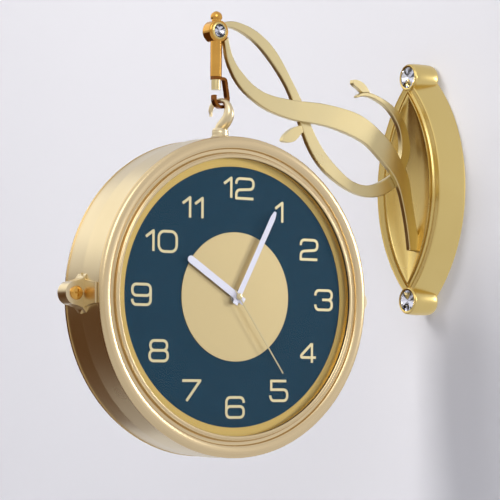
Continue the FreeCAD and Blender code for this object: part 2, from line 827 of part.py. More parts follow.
full = numeral_round
bowl = numeral_bowl
hard = numeral_corner
digit_strokes = {
    "0": [([(0, 0), (1, 0), (1, 1), (0, 1)], [full, full, full, full], True)],
    "1": [([(0, 0.70), (1, 1), (1, 0)], [0, 0, 0], False)],
    "2": [([(0, 0.72), (0, 1), (1, 1), (1, 0.49), (0, 0.41), (0, 0), (1, 0)],
           [0, bowl, bowl, bowl, bowl, 0, 0], False)],
    "3": [([(0, 0.73), (0, 1), (1, 1), (1, 0.52), (0.42, 0.52)], [0, bowl, bowl, bowl, 0], False),
          ([(0.42, 0.52), (1, 0.52), (1, 0), (0, 0), (0, 0.27)], [0, bowl, bowl, bowl, 0], False)],
    "4": [([(0.76, 0), (0.76, 1)], [0, 0], False),
          ([(0.74, 0.97), (0, 0.27), (1, 0.27)], [0, hard, 0], False)],
    "5": [([(0.94, 1), (0.05, 1), (0.05, 0.56), (1, 0.56), (1, 0), (0, 0), (0, 0.27)],
           [0, 0, 0, bowl, bowl, bowl, 0], False)],
    "6": [([(0, 0), (1, 0), (1, 0.55), (0, 0.55)], [bowl, bowl, bowl, bowl], True),
          ([(0, 0.28), (0, 1), (1, 1), (1, 0.73)], [0, bowl, bowl, 0], False)],
    "7": [([(0, 1), (1, 1), (0.24, 0)], [0, 0, 0], False)],
    "8": [([(0, 0), (1, 0), (1, 0.52), (0, 0.52)], [bowl, bowl, bowl, bowl], True),
          ([(0.04, 0.52), (0.96, 0.52), (0.96, 1), (0.04, 1)], [bowl, bowl, bowl, bowl], True)],
    "9": [([(0, 0.45), (1, 0.45), (1, 1), (0, 1)], [bowl, bowl, bowl, bowl], True),
          ([(1, 0.72), (1, 0), (0, 0), (0, 0.27)], [0, bowl, bowl, 0], False)],
}
hour_place_shares = [
    (0.483, 0.795), (0.834, 0.463), (1.007, -0.005), (0.824, -0.503), (0.495, -0.857), (0.005, -1.009),
    (-0.475, -0.858), (-0.826, -0.503), (-1.013, -0.005), (-0.808, 0.477), (-0.476, 0.794), (0.030, 0.997),
]


def digit_width(digit):
    return one_width if digit == "1" else numeral_width


def digit_solid(digit, left, bottom):
    """One digit as a thin plate, its box's lower left corner at the given place."""
    across = digit_width(digit) - numeral_stroke
    up = numeral_height - numeral_stroke
    half = numeral_stroke / 2
    solid = None
    for shares, radii, closed in digit_strokes[digit]:
        points = [(left + half + u * across, bottom + half + v * up) for u, v in shares]
        face = band_face(points, radii, numeral_stroke, side_plane, closed)
        part = face.extrude(Y_AXIS * numeral_thickness)
        part.translate(Y_AXIS * -(dial_height + numeral_thickness))
        solid = part if solid is None else solid.fuse(part)
    return solid.removeSplitter().Solids[0]


def numerals():
    solids = []
    for hour, (across, up) in enumerate(hour_place_shares, 1):
        text = str(hour)
        width = sum(digit_width(d) for d in text) + digit_space * (len(text) - 1)
        left = numeral_circle * across - width / 2
        bottom = numeral_circle * up - numeral_height / 2
        for digit in text:
            solids.append(digit_solid(digit, left, bottom))
            left += digit_width(digit) + digit_space
    return group(solids)


# Movement

movement_front = dial_height - dial_thickness
movement_back = movement_front - movement_depth


def battery_bay():
    """The open bay, as the space that it takes."""
    length = battery_length + battery_cap_length + 2 * contact_thickness + 2 * bay_clearance
    width = 2 * (battery_radius + bay_clearance)
    corner = Vector(-length / 2, -movement_back - width, -battery_offset - width / 2)
    return Part.makeBox(length, width + overrun, width, corner)


def movement_case():
    side = movement_side
    corner = Vector(-side / 2, -movement_front, -side / 2)
    body = Part.makeBox(side, movement_depth, side, corner)
    upright = [e for e in body.Edges if abs(e.Vertexes[0].Y - e.Vertexes[1].Y) > overrun]
    body = body.makeFillet(movement_round, upright)
    body = body.fuse(facing(bush_radius, movement_front, dial_height + bush_reach))
    body = body.cut(facing(bush_bore_radius, arbor_start - overrun, dial_height + bush_reach))
    body = body.cut(battery_bay())
    stub = facing(wheel_stub_radius + wheel_stub_clearance, movement_back,
                  movement_back + wheel_stub_length, wheel_offset_x, wheel_offset_z)
    return body.cut(stub)


def movement_nut():
    start = dial_height + disc_thickness
    return facing(nut_radius, start, start + nut_thickness).cut(
        facing(bush_radius, start, start + nut_thickness))


def battery():
    middle = -movement_back - battery_radius - bay_clearance
    start = Vector(-(battery_length + battery_cap_length) / 2, middle, -battery_offset)
    body = cylinder(battery_radius, battery_length, start, X_AXIS)
    cap = cylinder(battery_cap_radius, battery_cap_length, start + X_AXIS * battery_length, X_AXIS)
    return body.fuse(cap)


def battery_contacts():
    half = (battery_length + battery_cap_length) / 2
    plates = []
    middle = -movement_back - battery_radius - bay_clearance
    for x in (-half - contact_thickness, half):
        corner = Vector(x, middle - contact_width / 2, -battery_offset - contact_width / 2)
        plates.append(Part.makeBox(contact_thickness, contact_width, contact_width, corner))
    return group(plates)


def setting_wheel():
    """Knurled thumb wheel on the movement's back."""
    front = movement_back - wheel_gap
    x = wheel_offset_x
    z = wheel_offset_z
    body = facing(wheel_radius, front - wheel_thickness, front, x, z)
    for i in range(wheel_grips):
        angle = i * tau / wheel_grips
        grip_x = x + wheel_radius * math.cos(angle)
        grip_z = z + wheel_radius * math.sin(angle)
        body = body.cut(facing(wheel_grip_radius, front - wheel_thickness, front, grip_x, grip_z))
    stub_end = movement_back + wheel_stub_length - wheel_gap
    return body.fuse(facing(wheel_stub_radius, front, stub_end, x, z)).removeSplitter()


# Hands, drawn upright and then turned to their time

def hand_blade(points, start, thickness):
    face = polygon([Vector(x, 0, z) for x, z in points])
    blade = face.extrude(Y_AXIS * -thickness)
    blade.translate(Y_AXIS * -start)
    return blade


def at_time(shape, angle):
    copy = shape.copy()
    copy.rotate(ORIGIN, Y_AXIS, angle)
    return copy


def hour_hand():
    """Round-ended baton."""
    half = hour_width / 2
    top = hour_length - half
    points = [(-half, -hour_tail), (half, -hour_tail), (half, top), (-half, top)]
    end = hour_height + hand_thickness
    body = hand_blade(points, hour_height, hand_thickness)
    body = body.fuse(facing(half, hour_height, end, 0, top))
    body = body.fuse(facing(hour_hub_radius, hour_height, end))
    body = body.cut(facing(hour_tube_radius, hour_height, end))
    return at_time(body.removeSplitter(), hour_angle)


def minute_hand():
    """Baton that narrows to a blunt point."""
    half = minute_width / 2
    tip = minute_tip_width / 2
    shoulder = minute_length - minute_tip_length
    points = [(-half, -minute_tail), (half, -minute_tail), (half, shoulder), (tip, minute_length),
              (-tip, minute_length), (-half, shoulder)]
    end = minute_height + hand_thickness
    body = hand_blade(points, minute_height, hand_thickness)
    body = body.fuse(facing(minute_hub_radius, minute_height, end))
    body = body.cut(facing(minute_arbor_radius, minute_height, end))
    return at_time(body.removeSplitter(), minute_angle)


def second_hand():
    """Thin needle with its pin and a domed cap."""
    half = second_width / 2
    points = [(-half, -second_tail), (half, -second_tail), (half, second_length), (-half, second_length)]
    end = second_height + second_thickness
    body = hand_blade(points, second_height, second_thickness)
    body = body.fuse(facing(second_hub_radius, second_height, end))
    cap = clock_ring([(0, end), (cap_radius, end), (cap_radius, end + cap_height / 2),
                      (cap_radius / 2, end + cap_height), (0, end + cap_height)])
    body = body.fuse(cap).fuse(facing(second_pin_radius, arbor_start, second_height))
    return at_time(body.removeSplitter(), second_angle)


def hour_tube():
    end = hour_height + hand_thickness + arbor_proud
    return facing(hour_tube_radius, arbor_start, end).cut(facing(hour_tube_bore, arbor_start, end))


def minute_arbor():
    end = minute_height + hand_thickness + arbor_proud
    return facing(minute_arbor_radius, arbor_start, end).cut(facing(minute_arbor_bore, arbor_start, end))


# Side lugs

def lug_outline(side):
    """Round nose that flares to a point above and below, where it meets the drum."""
    centre_x = side * lug_centre
    meet_x = side * (case_radius - lug_leaf_thickness)
    disc = facing(lug_radius, 0, lug_depth, centre_x)
    knee_x = centre_x + (meet_x - centre_x) * lug_flare_share
    knee_z = lug_radius + (lug_point_height - lug_radius) * lug_flare_rise_share
    upper = [Vector(centre_x, 0, lug_radius), Vector(knee_x, 0, knee_z), Vector(meet_x, 0, lug_point_height)]
    lower = [Vector(point.x, 0, -point.z) for point in reversed(upper)]
    return disc.fuse(polygon(upper + lower).extrude(Y_AXIS * -lug_depth))


def lug_leaf(side):
    """Pad on the drum's flank: a point at the seam, narrowing in a curve to the bezel."""
    spread = lug_point_height - lug_leaf_end_height
    upper = [(lug_leaf_reach * u, lug_leaf_end_height + spread * v) for u, v in lug_leaf_edge_shares]
    lower = [(u, -v) for u, v in upper]

    def on_side(u, v):
        return Vector(0, -u, v)

    face = ribbon_face(upper, lower, on_side)
    block = face.extrude(X_AXIS * side * (case_radius + lug_leaf_thickness + overrun))
    return block.common(facing(case_radius + lug_leaf_thickness, 0, case_front))


def side_lugs():
    drum = drum_outside()
    lugs = []
    for side in (-1, 1):
        body = lug_outline(side).fuse(lug_leaf(side)).cut(drum)
        bore = lug_screw_radius + lug_screw_clearance
        body = body.cut(facing(bore, 0, lug_depth, side * lug_centre))
        lugs.append(body.removeSplitter().Solids[0])
    return lugs


def dome_head(x):
    """Low domed head on the lug's face."""
    points = []
    for u, v in lug_head_shares:
        points.append(Vector(x + u * lug_head_radius, -lug_depth - v * lug_head_height, 0))
    return turned(points, Vector(x, 0, 0), Y_AXIS)


def lug_screw(x):
    """Cross-recessed screw whose shank runs through both lugs into the rear nut."""
    body = dome_head(x).fuse(facing(lug_screw_radius, -lug_depth, lug_depth, x))
    deep = lug_depth + lug_head_height - recess_depth
    for across, up in ((recess_length, recess_width), (recess_width, recess_length)):
        corner = Vector(x - across / 2, -(deep + lug_head_height), -up / 2)
        body = body.cut(Part.makeBox(across, lug_head_height, up, corner))
    return body


def lug_nut(x):
    """Domed sleeve nut sunk into the rear lug."""
    body = dome_head(x)
    body.rotate(Vector(x, 0, 0), Z_AXIS, half_turn_degrees)
    return body


# Clock hook

def clock_hook():
    """Open C that thickens from its tip to its neck, in a turned plane, on a beaded collar with a stud."""
    foot = hang_drop - hook_rise
    centres = [Vector(hook_half_width * u, 0, foot + hook_rise * v) for u, v, share in hook_wire_shares]
    sections = []
    for i, centre in enumerate(centres):
        before = centres[max(i - 1, 0)]
        after = centres[min(i + 1, len(centres) - 1)]
        radius = hook_neck_radius * hook_wire_shares[i][2]
        sections.append(Part.Wire(Part.makeCircle(radius, centre, after - before)))
    wire = Part.makeLoft(sections, True, False)
    wire.rotate(ORIGIN, Z_AXIS, -hook_turn)
    top = case_radius + collar_height
    half_band = collar_band / 2
    profile = [
        (0, case_radius - overrun), (collar_radius, case_radius - overrun),
        (collar_radius, case_radius + collar_band),
        (collar_waist_radius, case_radius + collar_band + half_band),
        (collar_waist_radius, top - collar_band - collar_band),
        (collar_radius - half_band, top - collar_band - half_band),
        (collar_radius - half_band, top - collar_band),
        (hook_neck_radius + half_band, top), (0, top),
    ]
    collar = turned([Vector(r, 0, z) for r, z in profile], ORIGIN, Z_AXIS)
    collar = collar.cut(drum_outside()).cut(drum_outside().rotated(ORIGIN, Z_AXIS, half_turn_degrees))
    stud_bottom = case_radius - hook_stud_length
    stud = cylinder(hook_stud_radius, hook_stud_length + overrun, Vector(0, 0, stud_bottom), Z_AXIS)
    return wire.fuse(collar).fuse(stud)


def hook_washer_seat():
    """Height at which a flat washer meets the inside of the round, slightly tapered case."""
    taper = (case_radius - case_front_radius) / case_front
    inner = case_radius - case_wall - hook_washer_radius * taper
    return math.sqrt(inner ** 2 - hook_washer_radius ** 2) - hole_clearance


def hook_washer():
    base = Vector(0, 0, hook_washer_seat() - hook_washer_thickness)
    body = cylinder(hook_washer_radius, hook_washer_thickness, base, Z_AXIS)
    return body.cut(cylinder(hook_stud_radius + hole_clearance, hook_washer_thickness, base, Z_AXIS))


def hook_nut():
    base = Vector(0, 0, hook_washer_seat() - hook_washer_thickness - hook_nut_height)
    angles = [i * tau / hook_nut_sides for i in range(hook_nut_sides)]
    corners = [base + Vector(math.cos(a), math.sin(a), 0) * hook_nut_radius for a in angles]
    body = polygon(corners).extrude(Z_AXIS * hook_nut_height)
    return body.cut(cylinder(hook_stud_radius, hook_nut_height, base, Z_AXIS))


# Build and write every node

plate = wall_plate()
barrel = tip_barrel()
save("wall_plate", plate)
save("tip_barrel", barrel)
for node, shape in zip(("plate_crystal_rings", "plate_crystals"), plate_crystals()):
    save(node, shape)
for node, shape in zip(("barrel_crystal_rings", "barrel_crystals"), barrel_crystals()):
    save(node, shape)
arm_nodes = ("arm_ribbon", "arm_scroll", "upper_tendril", "lower_leaf", "tendril_leaf", "arm_screws")
for node, shape in zip(arm_nodes, arm_parts(plate)):
    save(node, shape)

save("hanger_rod", hanger_rod())
save("thrust_washer", thrust_washer())
save("finial_nut", finial_nut())
save("hanger_hook", hanger_hook())
save("rod_nut", rod_nut())

save("clock_hook", carried(clock_hook()))
save("hook_washer", carried(hook_washer()))
save("hook_nut", carried(hook_nut()))
lug_sides = (-lug_centre, lug_centre)
save("lug_screws", group([carried(lug_screw(x)) for x in lug_sides]))
save("lug_nuts", group([carried(lug_nut(x)) for x in lug_sides]))

face_nodes = {
    "bezel": bezel, "glass": glass, "glass_seal": glass_seal, "dial_flange": dial_flange, "dial": dial,
    "centre_disc": centre_disc, "numerals": numerals, "movement_case": movement_case,
    "movement_nut": movement_nut, "battery": battery, "battery_contacts": battery_contacts,
    "setting_wheel": setting_wheel, "hour_hand": hour_hand, "minute_hand": minute_hand,
    "second_hand": second_hand, "hour_tube": hour_tube, "minute_arbor": minute_arbor,
}
for rear in (False, True):
    side = "rear_" if rear else "front_"
    save(side + "case", carried(case_half(), rear))
    save(side + "lugs", group([carried(lug, rear) for lug in side_lugs()]))
    for node, build in face_nodes.items():
        save(side + node, carried(build(), rear))
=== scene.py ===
"""Looks of the double-sided wall clock on its scrollwork bracket."""

import json
import math

import bmesh
import bpy
from mathutils import Matrix, Vector

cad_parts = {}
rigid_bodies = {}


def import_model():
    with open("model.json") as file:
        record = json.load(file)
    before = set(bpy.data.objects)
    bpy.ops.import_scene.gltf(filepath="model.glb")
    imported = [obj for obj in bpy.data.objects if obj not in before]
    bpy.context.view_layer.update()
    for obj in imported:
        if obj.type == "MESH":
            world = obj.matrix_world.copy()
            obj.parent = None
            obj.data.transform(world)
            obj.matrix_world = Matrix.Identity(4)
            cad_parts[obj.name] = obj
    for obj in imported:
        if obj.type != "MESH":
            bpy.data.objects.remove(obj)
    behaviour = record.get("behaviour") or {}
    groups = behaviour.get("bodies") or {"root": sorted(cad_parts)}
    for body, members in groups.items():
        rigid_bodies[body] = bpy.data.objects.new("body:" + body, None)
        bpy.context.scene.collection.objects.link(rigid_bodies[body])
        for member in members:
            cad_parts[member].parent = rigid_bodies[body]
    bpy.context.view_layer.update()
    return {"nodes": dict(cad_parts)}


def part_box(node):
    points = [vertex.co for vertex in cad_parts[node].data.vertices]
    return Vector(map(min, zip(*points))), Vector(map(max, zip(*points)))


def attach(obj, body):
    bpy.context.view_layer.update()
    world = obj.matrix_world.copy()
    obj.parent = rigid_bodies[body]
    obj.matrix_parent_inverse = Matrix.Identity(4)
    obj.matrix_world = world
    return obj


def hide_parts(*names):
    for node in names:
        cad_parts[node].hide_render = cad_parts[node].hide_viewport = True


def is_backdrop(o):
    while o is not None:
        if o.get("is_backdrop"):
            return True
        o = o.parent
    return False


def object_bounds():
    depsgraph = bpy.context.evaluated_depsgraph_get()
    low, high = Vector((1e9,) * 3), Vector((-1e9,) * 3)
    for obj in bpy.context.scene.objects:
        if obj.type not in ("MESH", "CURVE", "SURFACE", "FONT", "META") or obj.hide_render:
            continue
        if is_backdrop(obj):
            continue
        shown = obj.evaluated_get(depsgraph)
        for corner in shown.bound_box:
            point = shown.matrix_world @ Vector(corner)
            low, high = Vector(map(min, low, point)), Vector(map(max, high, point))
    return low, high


for leftover in list(bpy.data.objects):
    bpy.data.objects.remove(leftover)

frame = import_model()
nodes = frame["nodes"]

scene = bpy.context.scene
scene.view_settings.view_transform = "Standard"


# Viewpoint of the photograph: left of the clock and a little below its middle,
# looking slightly up at it through a long lens.
eye_place = Vector((-1.4299, -1.7306, -0.1909))
eye_turn = math.radians(34.92)
eye_lift = math.radians(3.31)
eye_roll = math.radians(0.4)
eye_lens_mm = 160.2
film_width_mm = 36

sight = Vector(
    (
        math.sin(eye_turn) * math.cos(eye_lift),
        math.cos(eye_turn) * math.cos(eye_lift),
        math.sin(eye_lift),
    )
)
level = Vector((math.cos(eye_turn), -math.sin(eye_turn), 0))
upright = level.cross(sight)
across = math.cos(eye_roll) * level + math.sin(eye_roll) * upright
rise = math.cos(eye_roll) * upright - math.sin(eye_roll) * level
eye = bpy.data.objects.new("eye", bpy.data.cameras.new("eye"))
scene.collection.objects.link(eye)
eye.data.lens = eye_lens_mm
eye.data.sensor_width = film_width_mm
eye.matrix_world = Matrix.Translation(eye_place) @ Matrix((across, rise, -sight)).transposed().to_4x4()
scene.camera = eye


# The room: a pale painted wall that the bracket is screwed to, a pale floor well below,
# two cards that show only in reflections, and soft light from the upper left, right and front.
metre = 1000  # in millimetres


def linear(code):
    """A colour written as sRGB hex, turned to linear."""
    shares = [int(code[place : place + 2], 16) / 255 for place in (1, 3, 5)]
    return tuple(s / 12.92 if s <= 0.04045 else ((s + 0.055) / 1.055) ** 2.4 for s in shares) + (1,)


def add_node(tree, kind, values=None, links=None, **settings):
    """One shader node with its settings, its socket values and the nodes or outputs that feed it."""
    node = tree.nodes.new("ShaderNode" + kind)
    for name, value in settings.items():
        setattr(node, name, value)
    for socket, value in (values or {}).items():
        node.inputs[socket].default_value = value
    for socket, source in (links or {}).items():
        if isinstance(source, bpy.types.Node):
            source = source.outputs[0]
        tree.links.new(source, node.inputs[socket])
    return node


def bare_material(name):
    """A new material and its empty node tree."""
    material = bpy.data.materials.new(name)
    material.use_nodes = True
    material.node_tree.nodes.clear()
    return material, material.node_tree


def seen_directly(tree):
    """1 where the ray comes from the eye, a mirror or a lens, 0 for plain light."""
    path = add_node(tree, "LightPath")
    share = path.outputs["Is Camera Ray"]
    for kind in ("Is Glossy Ray", "Is Transmission Ray"):
        share = add_node(tree, "Math", links={0: share, 1: path.outputs[kind]}, operation="MAXIMUM")
    return share


def wall_paint(name, code, glow_code, own_share):
    """Rolled matt emulsion: even and pale, keeps soft shadows, and shows on its painted side only.

    Part of what the eye sees, and all that metal reflects, is the paint's even pale tone.
    """
    roller_grain_mm = 2.5
    roller_relief_mm = 1.0
    material, tree = bare_material(name)
    place = add_node(tree, "NewGeometry")
    grain = {"Scale": metre / roller_grain_mm, "Detail": 3}
    roller = add_node(tree, "TexNoise", grain, {"Vector": place.outputs["Position"]})
    depth = {"Strength": 0.05, "Distance": roller_relief_mm / metre}
    relief = add_node(tree, "Bump", depth, {"Height": roller})
    paint = add_node(tree, "BsdfDiffuse", {"Color": linear(code)}, {"Normal": relief})
    glow = add_node(tree, "Emission", {"Color": linear(glow_code), "Strength": 1})
    share = add_node(tree, "Math", {1: own_share}, {0: seen_directly(tree)}, operation="MULTIPLY")
    mirrored = add_node(tree, "LightPath").outputs["Is Glossy Ray"]
    glow_share = add_node(tree, "Math", links={0: share, 1: mirrored}, operation="MAXIMUM")
    shown = add_node(tree, "MixShader", links={0: glow_share, 1: paint, 2: glow})
    clear = add_node(tree, "BsdfTransparent")
    sided = add_node(tree, "MixShader", links={0: place.outputs["Backfacing"], 1: shown, 2: clear})
    add_node(tree, "OutputMaterial", links={0: sided})
    return material


def card_face(name, code, strength):
    """An evenly glowing card that only mirrors see: a painted dark reflection or a painted highlight."""
    material, tree = bare_material(name)
    glow = add_node(tree, "Emission", {"Color": linear(code), "Strength": strength})
    add_node(tree, "OutputMaterial", links={0: glow})
    return material


def stage_sheet(name, corners, material):
    """One flat sheet of the room, which isn't part of the clock."""
    mesh = bpy.data.meshes.new(name)
    mesh.from_pydata(corners, [], [tuple(range(len(corners)))])
    mesh.materials.append(material)
    sheet = bpy.data.objects.new(name, mesh)
    scene.collection.objects.link(sheet)
    sheet.visible_shadow = False
    sheet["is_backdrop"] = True
    return sheet


room_reach = 6.0
floor_drop = 1.1
wall_gap = 0.0004
wall_corners = [
    (wall_gap, room_reach, -floor_drop),
    (wall_gap, -room_reach, -floor_drop),
    (wall_gap, -room_reach, room_reach),
    (wall_gap, room_reach, room_reach),
]
floor_corners = [
    (-room_reach, -room_reach, -floor_drop),
    (wall_gap, -room_reach, -floor_drop),
    (wall_gap, room_reach, -floor_drop),
    (-room_reach, room_reach, -floor_drop),
]
stage_sheet("wall", wall_corners, wall_paint("wall_emulsion", "#D6D7DF", "#E6E6ED", 0.2))
stage_sheet("floor", floor_corners, wall_paint("floor_paint", "#D8D7DC", "#DFDEE3", 0.5))

# Both cards stand behind the clock as the eye sees it and glow where only mirrors see them: the low one
# paints a dark reflection on the drum's lower flank, and the high one paints a highlight on its upper
# flank.
card_back = 1.2
dark_reflection_glow = card_face("painted_dark_reflection_glow", "#5E3F22", 1)
highlight_glow = card_face("painted_highlight_glow", "#FFFDF8", 1.4)
for name, left, right, low, high, face in (
    ("dark_reflection_card", -3.0, -0.03, -floor_drop, 0.05, dark_reflection_glow),
    ("highlight_card", -2.2, -0.3, 0.35, 1.7, highlight_glow),
):
    corners = [
        (left, card_back, low),
        (right, card_back, low),
        (right, card_back, high),
        (left, card_back, high),
    ]
    card = stage_sheet(name, corners, face)
    card.visible_camera = False
    card.visible_diffuse = False
    card.visible_transmission = False


def lamp(name, place, aim, size, power, code="#FFFFFF"):
    """A square softbox that faces the point it is aimed at; size in metres, power in watts."""
    light = bpy.data.lights.new(name, "AREA")
    light.shape = "SQUARE"
    light.size = size
    light.energy = power
    light.color = linear(code)[:3]
    softbox = bpy.data.objects.new(name, light)
    scene.collection.objects.link(softbox)
    softbox.location = place
    softbox.rotation_mode = "QUATERNION"
    softbox.rotation_quaternion = (Vector(aim) - Vector(place)).to_track_quat("-Z", "Y")
    return softbox


clock_middle = Vector((-0.257, 0, -0.115))
plate_middle = Vector((-0.015, 0, 0))
key_light = lamp("upper_left_softbox", (-2.0, 0.6, 1.15), plate_middle, size=0.9, power=50, code="#FFFBF5")
key_light.visible_glossy = False
lamp("right_softbox", (1.5, -0.95, 0.25), clock_middle, size=0.3, power=14)
lamp("front_softbox", (-1.6, -2.2, 1.5), clock_middle, size=1.6, power=20)

world = bpy.data.worlds.new("studio")
scene.world = world
world.use_nodes = True
sky = world.node_tree
sky.nodes.clear()
direction = add_node(sky, "TexCoord").outputs["Generated"]
height = add_node(sky, "SeparateXYZ", links={0: direction}).outputs["Z"]
sky_tones = {}
for use, horizon_code, upper_code, upper_share in (
    ("lights", "#B9B4AE", "#F4F4F8", 0.55),
    ("shines", "#C9C4BE", "#F6F5F8", 0.35),
):
    fade = add_node(sky, "ValToRGB", links={0: height})
    horizon, upper = fade.color_ramp.elements
    horizon.position = 0
    horizon.color = linear(horizon_code)
    upper.position = upper_share
    upper.color = linear(upper_code)
    sky_tones[use] = fade
shown_sky = add_node(sky, "Background", {"Color": linear("#EDECF2"), "Strength": 1})
soft_sky = add_node(sky, "Background", {"Strength": 0.35}, {"Color": sky_tones["lights"]})
mirrored_sky = add_node(sky, "Background", {"Strength": 1.12}, {"Color": sky_tones["shines"]})
plain_sky = add_node(sky, "MixShader", links={0: seen_directly(sky), 1: soft_sky, 2: shown_sky})
is_mirror = add_node(sky, "LightPath").outputs["Is Glossy Ray"]
any_sky = add_node(sky, "MixShader", links={0: is_mirror, 1: plain_sky, 2: mirrored_sky})
add_node(sky, "OutputWorld", links={0: any_sky})


# Wall plate: an almond-shaped zinc casting with a dished middle and a round boss at each end,
# electroplated and then lacquered in satin gold, screwed to the wall through both bosses.
def dress(name, material):
    """Gives a carried-over node its real finish."""
    finishes = nodes[name].data.materials
    finishes.clear()
    finishes.append(material)


def metal_surface(name, code, dark_code, roughness, grain_mm, relief_mm, drift_mm, dark_share):
    """A metal finish with fine grain in its relief and slow drifts of tone and gloss across it."""
    gloss_spread = 0.15
    material, tree = bare_material(name)
    place = add_node(tree, "TexCoord").outputs["Object"]
    grit = add_node(tree, "TexNoise", {"Scale": metre / grain_mm, "Detail": 4}, {"Vector": place})
    relief = add_node(tree, "Bump", {"Strength": 1, "Distance": relief_mm / metre}, {"Height": grit})
    drift = add_node(tree, "TexNoise", {"Scale": metre / drift_mm, "Detail": 2}, {"Vector": place})
    amount = add_node(tree, "Math", {1: dark_share}, {0: drift}, operation="MULTIPLY")
    colours = {6: linear(code), 7: linear(dark_code)}
    tone = add_node(tree, "Mix", colours, {0: amount}, data_type="RGBA").outputs[2]
    limits = {3: roughness * (1 - gloss_spread), 4: roughness * (1 + gloss_spread)}
    gloss = add_node(tree, "MapRange", limits, {0: drift})
    surface = add_node(
        tree, "BsdfPrincipled", {"Metallic": 1}, {"Base Color": tone, "Roughness": gloss, "Normal": relief}
    )
    add_node(tree, "OutputMaterial", links={0: surface})
    return material


weld_gap = 0.005 / metre


def smoothed(points, faces, name, material, sharp_degrees):
    """A mesh object with outward faces, smooth but for its real edges."""
    mesh = bpy.data.meshes.new(name)
    mesh.from_pydata(points, [], faces)
    shape = bmesh.new()
    shape.from_mesh(mesh)
    bmesh.ops.remove_doubles(shape, verts=shape.verts, dist=weld_gap)
    bmesh.ops.recalc_face_normals(shape, faces=shape.faces)
    shape.to_mesh(mesh)
    shape.free()
    for face in mesh.polygons:
        face.use_smooth = True
    mesh.set_sharp_from_angle(angle=math.radians(sharp_degrees))
    mesh.materials.append(material)
    piece = bpy.data.objects.new(name, mesh)
    scene.collection.objects.link(piece)
    return piece


def turned_body(name, profile_mm, spokes, middle, facing, material, closed):
    """A profile of radii and heights turned round an axis, closed on itself or else capped."""
    side_on = facing.orthogonal().normalized()
    up_on = facing.cross(side_on)
    points = []
    for spoke in range(spokes):
        turn = 2 * math.pi * spoke / spokes
        outward = math.cos(turn) * side_on + math.sin(turn) * up_on
        for radius, height in profile_mm:
            points.append(middle + radius / metre * outward + height / metre * facing)
    size = len(profile_mm)
    faces = []
    for spoke in range(spokes):
        here = spoke * size
        there = (spoke + 1) % spokes * size
        for k in range(size if closed else size - 1):
            after = (k + 1) % size
            faces.append((here + k, here + after, there + after, there + k))
    if not closed:
        faces.append(tuple(range(0, len(points), size)))
        faces.append(tuple(range(size - 1, len(points), size)))
    return smoothed(points, faces, name, material, sharp_degrees=40)


# Satin gold lacquer over plated zinc: a soft yellow sheen. Its real grain, about 0.1 mm, is
# too fine to show, so it is drawn at 1.2 mm and nearly flat.
plate_gold = metal_surface(
    "satin_gold_plate_casting",
    "#DEC682",
    "#CBAE60",
    roughness=0.26,
    grain_mm=1.2,
    relief_mm=0.004,
    drift_mm=40,
    dark_share=0.4,
)

# Each level has its half width, half height and height off the wall, in millimetres.
plate_levels = [
    # The pocket behind the plate, and the rim that stands on the wall
    (40.0, 86.0, 12.5),
    (46.0, 92.0, 0.0),
    (53.9, 117.2, 0.0),
    (54.5, 118.0, 0.6),
    (54.5, 118.0, 2.4),
    (54.1, 117.2, 4.0),
    # The flank, the ridge along its edge, and the flat inside it
    (50.3, 110.2, 27.6),
    (49.9, 109.4, 28.9),
    (48.9, 108.2, 29.6),
    (47.6, 107.0, 28.9),
    (41.6, 101.2, 28.4),
    # The raised band, the groove and the line round the dish
    (40.6, 100.4, 28.9),
    (39.8, 99.6, 30.0),
    (38.6, 98.6, 30.0),
    (38.0, 98.0, 28.4),
    (36.4, 96.2, 28.2),
    (35.8, 95.6, 30.0),
    (34.4, 94.2, 30.0),
    (33.8, 93.6, 29.4),
]
plate_steps = 64
dish_sink = 11.0
dish_lanes = 24
dish_end_power = 0.9
dish_floor_power = 2.4


def almond_width(half_width, half_height, share):
    """Half the width of a pointed oval of two arcs, at a share of its half height."""
    radius = (half_width**2 + half_height**2) / (2 * half_width)
    return math.sqrt(radius**2 - (share * half_height) ** 2) - radius + half_width


plate_points = []
plate_rows = []
for half_width, half_height, height_off in plate_levels:
    row = []
    for step in range(2 * plate_steps):
        share = math.cos(math.pi * step / plate_steps)
        sign = 1 if step <= plate_steps else -1
        width = max(almond_width(half_width, half_height, share), 0)
        row.append(len(plate_points))
        plate_points.append((-height_off / metre, sign * width / metre, share * half_height / metre))
    plate_rows.append(row)
plate_faces = [tuple(plate_rows[0])]
for inner, outer in zip(plate_rows[:-1], plate_rows[1:]):
    for step in range(2 * plate_steps):
        after = (step + 1) % (2 * plate_steps)
        plate_faces.append((inner[step], inner[after], outer[after], outer[step]))
brim_width, brim_height, brim_rise = plate_levels[-1]
brim = plate_rows[-1]
dish_rows = []
for step in range(1, plate_steps):
    share = math.cos(math.pi * step / plate_steps)
    width = almond_width(brim_width, brim_height, share)
    sink = dish_sink * (width / brim_width) ** dish_end_power
    row = [brim[step]]
    for lane in range(1, dish_lanes):
        across_share = math.cos(math.pi * lane / dish_lanes)
        rise_off = brim_rise - sink * (1 - abs(across_share) ** dish_floor_power)
        row.append(len(plate_points))
        plate_points.append((-rise_off / metre, across_share * width / metre, share * brim_height / metre))
    row.append(brim[2 * plate_steps - step])
    dish_rows.append(row)
for upper_row, lower_row in zip(dish_rows[:-1], dish_rows[1:]):
    for lane in range(dish_lanes):
        after = lane + 1
        plate_faces.append((upper_row[lane], upper_row[after], lower_row[after], lower_row[lane]))
for lane in range(dish_lanes):
    plate_faces.append((brim[0], dish_rows[0][lane], dish_rows[0][lane + 1]))
    plate_faces.append((brim[plate_steps], dish_rows[-1][lane], dish_rows[-1][lane + 1]))
casting = smoothed(plate_points, plate_faces, "dished_plate", plate_gold, sharp_degrees=18)

